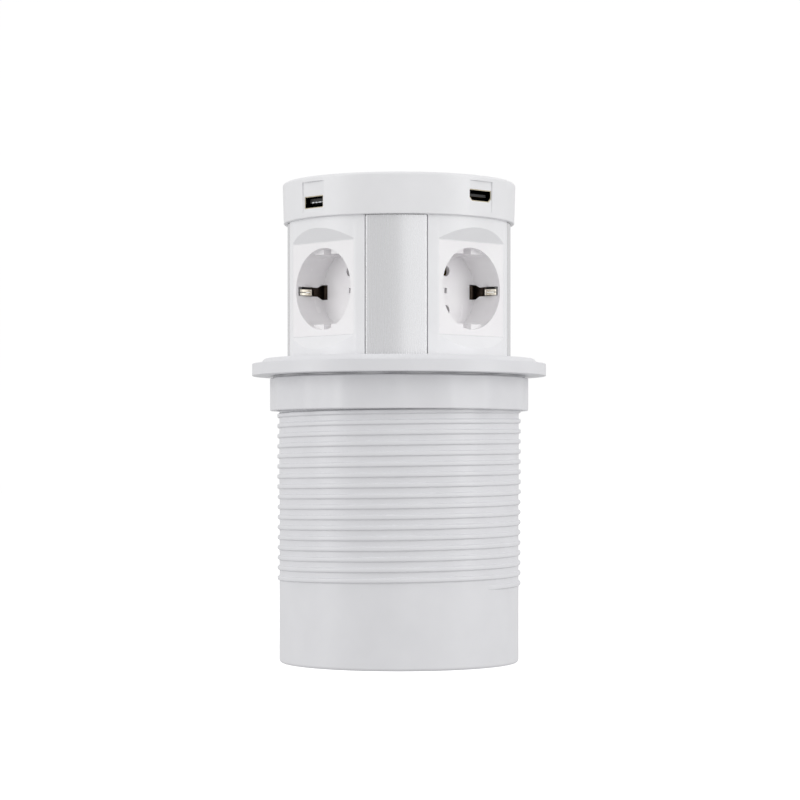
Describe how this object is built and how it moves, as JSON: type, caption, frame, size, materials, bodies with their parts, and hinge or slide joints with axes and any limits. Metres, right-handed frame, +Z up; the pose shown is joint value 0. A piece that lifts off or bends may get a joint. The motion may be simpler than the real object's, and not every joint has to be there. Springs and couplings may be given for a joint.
{
  "type": "retractable socket tower",
  "caption": "Pop-up worktop socket tower: earthed sockets round a sliding column, data ports in its cap, flanged threaded sleeve and lobed clamp nut.",
  "frame": {"origin": "centre of the sleeve's bottom edge", "axes": "+Z up along the tower; the four sockets face -Y, +X, +Y and -X; the plain front strip faces between -Y and +X"},
  "size_m": [0.1442, 0.1442, 0.2341],
  "materials": {
    "tower_white": "moulded, fine satin",
    "sleeve_white": "moulded, satin",
    "strip_silver": "satin silver paint",
    "inner_plastic": "moulded, plain",
    "dark_rubber": "moulded, dull",
    "washer_grey": "moulded, dull",
    "contact_brass": "stamped, bare",
    "spring_metal": "stamped, nickel plated",
    "screw_steel": "zinc plated",
    "port_metal": "stamped, plated",
    "tongue_grey": "moulded, dull",
    "board_green": "solder mask"
  },
  "bodies": {
    "housing": {"flanged_sleeve": "sleeve_white", "lip_seal": "dark_rubber", "bottom_cover": "inner_plastic", "bottom_screws": "screw_steel", "lead_bush": "dark_rubber"},
    "tower": {"tower_base": "inner_plastic", "friction_pads": "dark_rubber", "lead_clamp": "inner_plastic", "lead_clamp_screws": "screw_steel", "core_frame": "inner_plastic", "terminal_block": "inner_plastic", "live_rail": "contact_brass", "neutral_rail": "contact_brass", "earth_rail": "contact_brass", "socket_panel_front_left": "tower_white", "socket_panel_front_right": "tower_white", "socket_panel_rear_right": "tower_white", "socket_panel_rear_left": "tower_white", "strip_front": "strip_silver", "strip_right": "strip_silver", "strip_rear": "strip_silver", "strip_left": "strip_silver", "insert_front_left": "tower_white", "insert_front_right": "tower_white", "insert_rear_right": "tower_white", "insert_rear_left": "tower_white", "earth_clip_front_left": "spring_metal", "earth_clip_front_right": "spring_metal", "earth_clip_rear_right": "spring_metal", "earth_clip_rear_left": "spring_metal", "contacts_front_left": "contact_brass", "contacts_front_right": "contact_brass", "contacts_rear_right": "contact_brass", "contacts_rear_left": "contact_brass", "contact_box_front_left": "inner_plastic", "contact_box_front_right": "inner_plastic", "contact_box_rear_right": "inner_plastic", "contact_box_rear_left": "inner_plastic", "cap_base": "inner_plastic", "cap_shell": "tower_white", "cap_screws": "screw_steel", "usb_shell": "port_metal", "usb_tongue": "tongue_grey", "usb_board": "board_green", "hdmi_shell": "port_metal", "hdmi_tongue": "tongue_grey", "hdmi_board": "board_green"},
    "washer": {"clamp_washer": "washer_grey"},
    "nut": {"clamp_nut": "sleeve_white"}
  },
  "joints": [
    {"name": "tower_lift", "type": "slide", "parent": "housing", "child": "tower", "axis": [0, 0, 1], "range_m": [-0.0656, 0]},
    {"name": "washer_travel", "type": "slide", "parent": "housing", "child": "washer", "axis": [0, 0, 1], "range_m": [-0.0793, 0]},
    {"name": "nut_turn", "type": "hinge", "parent": "washer", "child": "nut", "pos_m": [0, 0, 0.1304], "axis": [0, 0, 1], "range_deg": [-5760, 0]}
  ],
  "couplings": [
    {"joint": "washer_travel", "follows": "nut_turn", "m_per_rad": 0.00078782}
  ]
}
